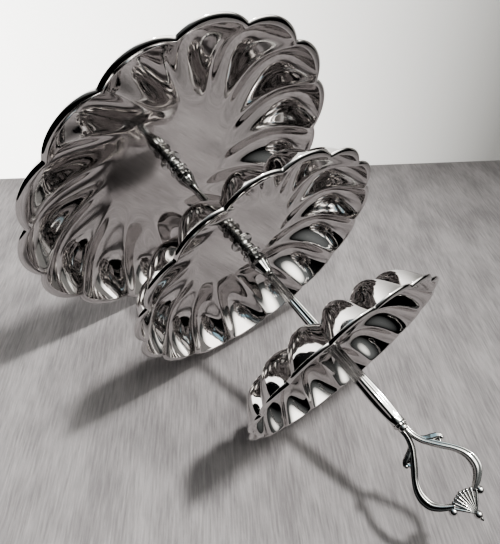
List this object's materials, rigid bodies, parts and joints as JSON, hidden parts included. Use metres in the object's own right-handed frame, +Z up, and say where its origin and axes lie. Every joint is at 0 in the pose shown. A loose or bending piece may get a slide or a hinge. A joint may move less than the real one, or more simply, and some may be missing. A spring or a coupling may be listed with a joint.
{
  "type": "tiered serving stand",
  "caption": "Tiered serving stand: round fluted metal dishes, widest at the bottom, on a slender turned centre post that ends in a pierced loop handle.",
  "frame": {"origin": "on the table under the centre of the post, at the lowest point of the large dish", "axes": "+Z up along the post from the large dish to the handle, X across the loop of the handle, Y through the loop"},
  "size_m": [0.2539, 0.2536, 0.3082],
  "materials": {
    "dish_chrome": "mirror-bright chrome plate on stamped steel",
    "post_chrome": "bright chrome plate on turned and fluted tube",
    "cast_chrome": "bright plate on cast metal, darker in its grooves",
    "zinc_steel": "zinc-plated steel, satin",
    "soft_washer": "matt black rubber"
  },
  "bodies": {
    "base": {"dish_large": "dish_chrome", "base_gasket": "soft_washer", "base_washer": "zinc_steel", "base_screw": "zinc_steel", "lower_foot": "post_chrome", "lower_ring": "post_chrome", "lower_vase": "post_chrome", "lower_tube": "post_chrome", "lower_cap": "post_chrome", "lower_washer": "soft_washer", "lower_rod": "zinc_steel"},
    "medium_tray": {"dish_medium": "dish_chrome"},
    "upper_post": {"upper_foot": "post_chrome", "upper_ring": "post_chrome", "upper_vase": "post_chrome", "upper_tube": "post_chrome", "upper_cap": "post_chrome", "upper_washer": "soft_washer", "upper_rod": "zinc_steel"},
    "small_tray": {"dish_small": "dish_chrome"},
    "handle": {"handle_stem": "post_chrome", "handle_collar": "cast_chrome", "handle_loop": "cast_chrome"}
  },
  "joints": [
    {"name": "medium_tray_turn", "type": "hinge", "parent": "base", "child": "medium_tray", "pos_m": [0, 0, 0.0928], "axis": [0, 0, 1], "continuous": true},
    {"name": "upper_post_turn", "type": "hinge", "parent": "base", "child": "upper_post", "pos_m": [0, 0, 0.0928], "axis": [0, 0, 1], "continuous": true},
    {"name": "small_tray_turn", "type": "hinge", "parent": "upper_post", "child": "small_tray", "pos_m": [0, 0, 0.1818], "axis": [0, 0, 1], "continuous": true},
    {"name": "handle_turn", "type": "hinge", "parent": "upper_post", "child": "handle", "pos_m": [0, 0, 0.1818], "axis": [0, 0, 1], "continuous": true}
  ]
}
